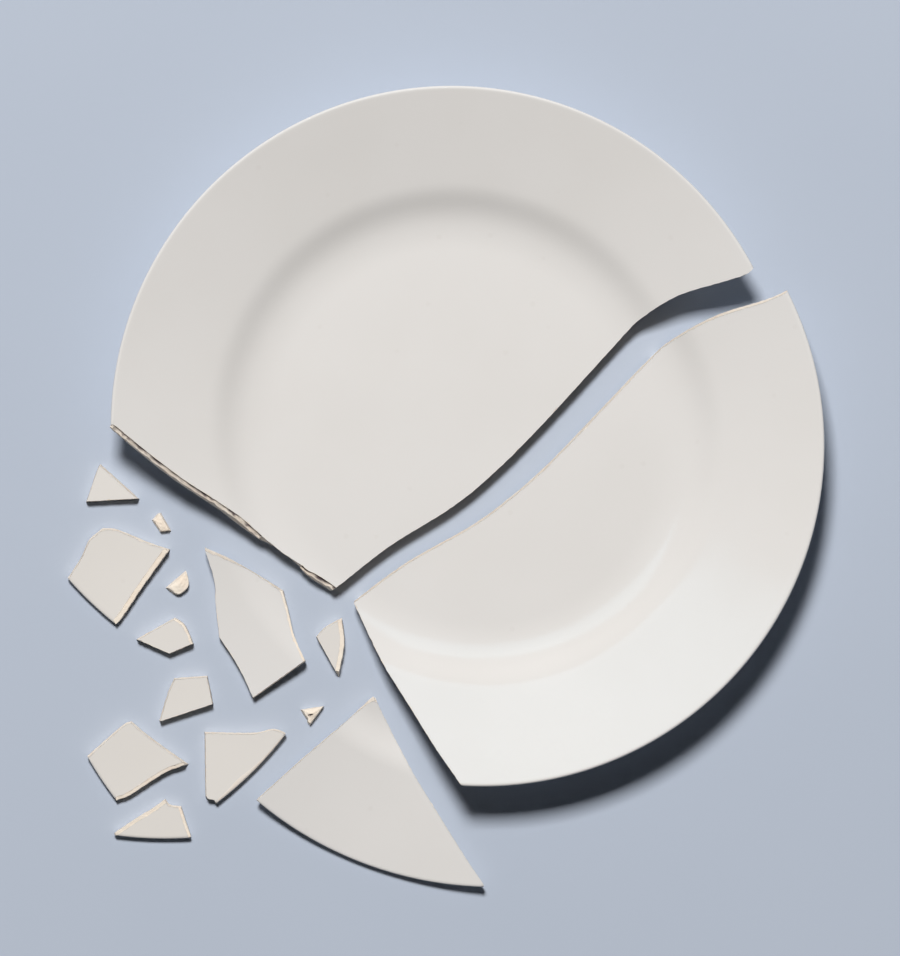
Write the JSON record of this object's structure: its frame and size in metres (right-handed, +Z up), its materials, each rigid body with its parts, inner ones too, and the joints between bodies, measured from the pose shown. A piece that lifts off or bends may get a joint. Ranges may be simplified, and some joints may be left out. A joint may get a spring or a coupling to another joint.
{
  "type": "broken dinner plate in pieces",
  "caption": "Broken off-white glazed dinner plate: large halves, a rim wedge, and shards and chips lying glazed side up beside them.",
  "frame": {"origin": "on the table, under the middle of the spread of pieces", "axes": "+Z up; +X from the small shards towards the lower half, +Y from the rim wedge towards the upper half"},
  "size_m": [0.3, 0.317, 0.0254],
  "materials": {
    "glazed_porcelain": "glossy off-white glaze on the faces, dry matt cream body on the broken edges and under the foot ring"
  },
  "bodies": {
    "root": {"upper_half": "glazed_porcelain", "lower_half": "glazed_porcelain", "rim_wedge": "glazed_porcelain", "long_shard": "glazed_porcelain", "square_rim_shard": "glazed_porcelain", "kite_rim_shard": "glazed_porcelain", "corner_rim_shard": "glazed_porcelain", "low_rim_shard": "glazed_porcelain", "triangle_shard": "glazed_porcelain", "blunt_shard": "glazed_porcelain", "slim_shard": "glazed_porcelain", "tapered_shard": "glazed_porcelain", "oblong_chip": "glazed_porcelain", "crescent_chip": "glazed_porcelain", "small_chip": "glazed_porcelain"}
  },
  "joints": []
}
